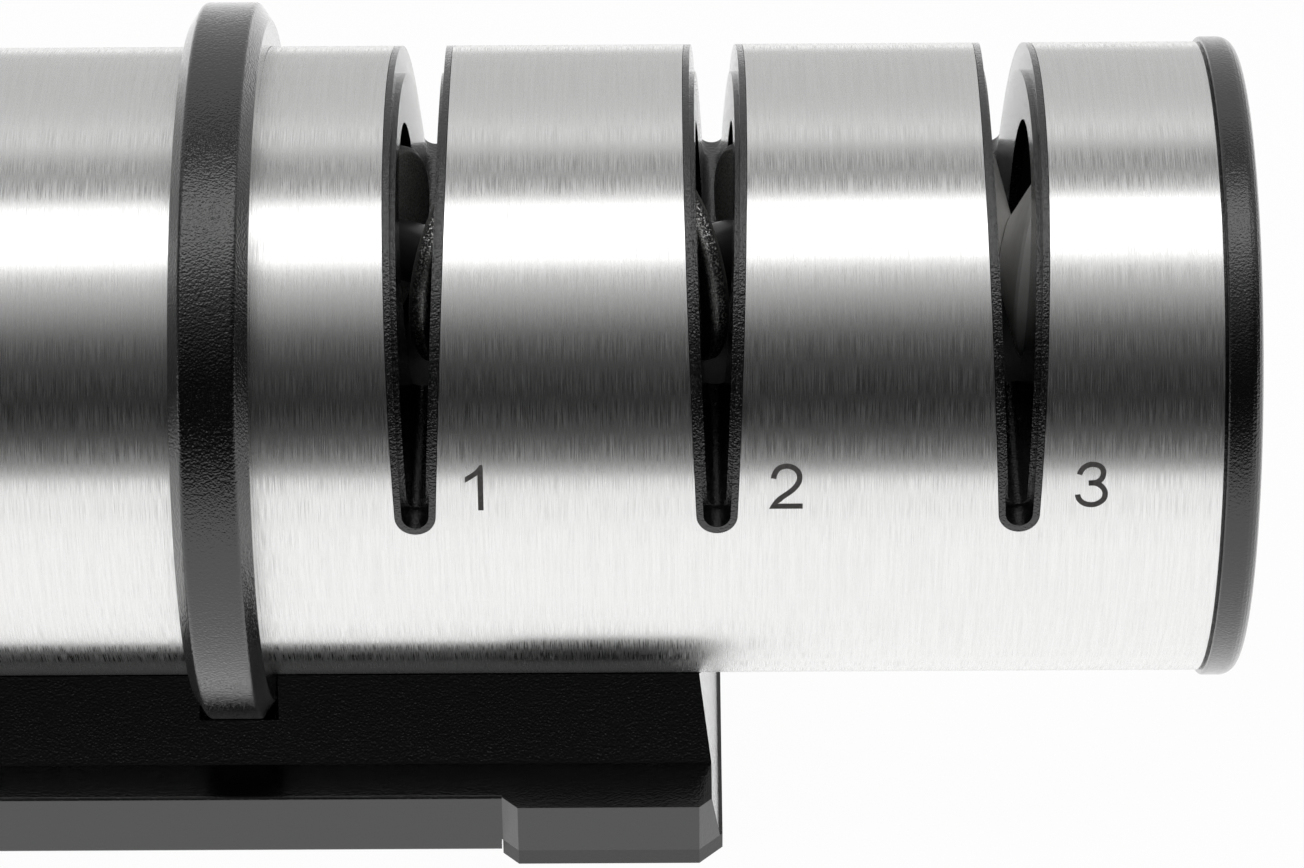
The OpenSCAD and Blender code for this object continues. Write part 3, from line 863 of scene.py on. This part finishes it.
@dataclass
class Studio:
    """A pale floor, a room that is light behind and dark in front, and a softbox overhead.

    The room's shades are listed by direction, as degrees from straight up towards the front, and
    its left wall is darker. The room and the softbox are turned a little about the vertical, as
    the tube's reflections show.
    """

    room: Tuple[Span, ...] = (
        (-180, 0.85), (-102, 0.55), (-90, 0.54), (-66, 0.53), (-50, 0.55), (-42, 0.66),
        (-36, 0.77), (-31.5, 0.7), (-27, 0.3), (-22, 0.26), (-13, 0.22), (-9, 0.27), (-4, 0.35),
        (16, 0.5), (21, 0.5), (26, 0.41), (30, 0.34), (35, 0.22), (39, 0.1), (46, 0.06),
        (54, 0.035), (66, 0.015), (74, 0.03), (84, 0.11), (90, 0.17), (96, 0.26), (180, 0.85))
    turn_deg: float = 18.0
    left_wall_share: float = 0.3
    left_wall_x: Span = (-0.85, -0.45)
    paper: str = "#FAFAFA"
    paper_glow_share: float = 0.97
    floor_side_m: float = 3.0
    floor_front_m: float = 0.6
    floor_rear_m: float = 0.25
    box_height_m: float = 0.9
    box_front_deg: float = 15.8
    box_rear_deg: float = -7.0
    box_turn_deg: float = 9.0
    box_length_m: float = 1.8
    box_level: float = 1.5
    box_x_m: float = 0.05

    def build(self) -> None:
        """Makes the world, the floor and the softbox."""
        self.build_world()
        self.build_floor()
        self.build_softbox()

    def build_world(self) -> None:
        """Makes the room's shades, with a white background for the camera."""
        world = bpy.data.worlds.new("studio_room")
        bpy.context.scene.world = world
        world.use_nodes = True
        tree = world.node_tree
        tree.nodes.clear()
        turned = add_node(tree, "Mapping", {
            "Vector": add_node(tree, "TexCoord").outputs["Generated"],
            "Rotation": (0, 0, -math.radians(self.turn_deg))})
        part = add_node(tree, "SeparateXYZ", {0: turned.outputs[0]})
        front = add_node(tree, "Math", {0: part.outputs["Y"], 1: -1.0}, operation="MULTIPLY")
        angle = add_node(tree, "Math", {0: front.outputs[0], 1: part.outputs["Z"]},
                         operation="ARCTAN2")
        share = spread(tree, angle.outputs[0], (-math.pi, math.pi))
        shade = ramp(tree, share, [(degrees / 360 + 0.5, (level, level, level, 1.0))
                                   for degrees, level in self.room])
        left = spread(tree, part.outputs["X"], self.left_wall_x, (self.left_wall_share, 1.0))
        room = add_node(tree, "Background", {"Color": shade, "Strength": left})
        white = add_node(tree, "Background", Color=WHITE, Strength=1.0)
        path = add_node(tree, "LightPath")
        mix = add_node(tree, "MixShader", {0: path.outputs["Is Camera Ray"], 1: room.outputs[0],
                                           2: white.outputs[0]})
        add_node(tree, "OutputWorld", {"Surface": mix.outputs[0]})

    def build_floor(self) -> None:
        """Makes the floor, white to the camera and to polished metal, with a light shadow."""
        work = bmesh.new()
        side, front, rear = self.floor_side_m, self.floor_front_m, self.floor_rear_m
        corners = ((-side, -front, 0), (side, -front, 0), (side, rear, 0), (-side, rear, 0))
        work.faces.new([work.verts.new(p) for p in corners])
        mesh = bpy.data.meshes.new("studio_floor")
        work.to_mesh(mesh)
        work.free()
        material = bpy.data.materials.new("paper_sweep_white")
        material.use_nodes = True
        tree = material.node_tree
        tree.nodes.clear()
        paper = add_node(tree, "BsdfDiffuse", Color=linear(self.paper))
        lit = add_node(tree, "Emission", Color=WHITE, Strength=1.0)
        mostly = add_node(tree, "MixShader", {1: paper.outputs[0], 2: lit.outputs[0]},
                          Fac=self.paper_glow_share)
        path = add_node(tree, "LightPath")
        seen = add_node(tree, "Math", {0: path.outputs["Is Camera Ray"],
                                       1: path.outputs["Is Glossy Ray"]}, operation="MAXIMUM")
        also = add_node(tree, "Math", {0: seen.outputs[0], 1: path.outputs["Is Transmission Ray"]},
                        operation="MAXIMUM")
        mix = add_node(tree, "MixShader", {0: also.outputs[0], 1: paper.outputs[0],
                                           2: mostly.outputs[0]})
        add_node(tree, "OutputMaterial", {"Surface": mix.outputs[0]})
        mesh.materials.append(material)
        floor = bpy.data.objects.new("studio_floor", mesh)
        bpy.context.scene.collection.objects.link(floor)

    def build_softbox(self) -> None:
        """Makes the long softbox over the tube."""
        front = self.box_height_m * math.tan(math.radians(self.box_front_deg))
        rear = self.box_height_m * math.tan(math.radians(self.box_rear_deg))
        width = front - rear
        data = bpy.data.lights.new("softbox_overhead", "AREA")
        data.shape = "RECTANGLE"
        data.size = self.box_length_m
        data.size_y = width
        data.energy = self.box_level * math.pi * self.box_length_m * width
        lamp = bpy.data.objects.new("softbox_overhead", data)
        bpy.context.scene.collection.objects.link(lamp)
        lamp.location = (self.box_x_m, -(front + rear) / 2,
                         self.box_height_m + PLACE.axis_z * MM)
        lamp.rotation_euler = (0, 0, math.radians(self.box_turn_deg))


def main() -> None:
    """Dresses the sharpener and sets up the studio."""
    logging.basicConfig(level=logging.INFO, format="%(message)s")
    bpy.context.scene.view_settings.view_transform = "Standard"
    PhotoCamera().build()
    Tube().build()
    for stage, grit_mm in ((Stage.COARSE, 0.15), (Stage.MEDIUM, 0.1)):
        diamond = PlatedDiamond(f"diamond_{stage.name.lower()}", stage.value, grit_mm=grit_mm)
        WheelPair(stage, diamond).build()
    WheelPair(Stage.FINE, SinteredAlumina("alumina_ground")).build()
    Core().build()
    Base().build()
    Studio().build()


if __name__ == "__main__":
    main()
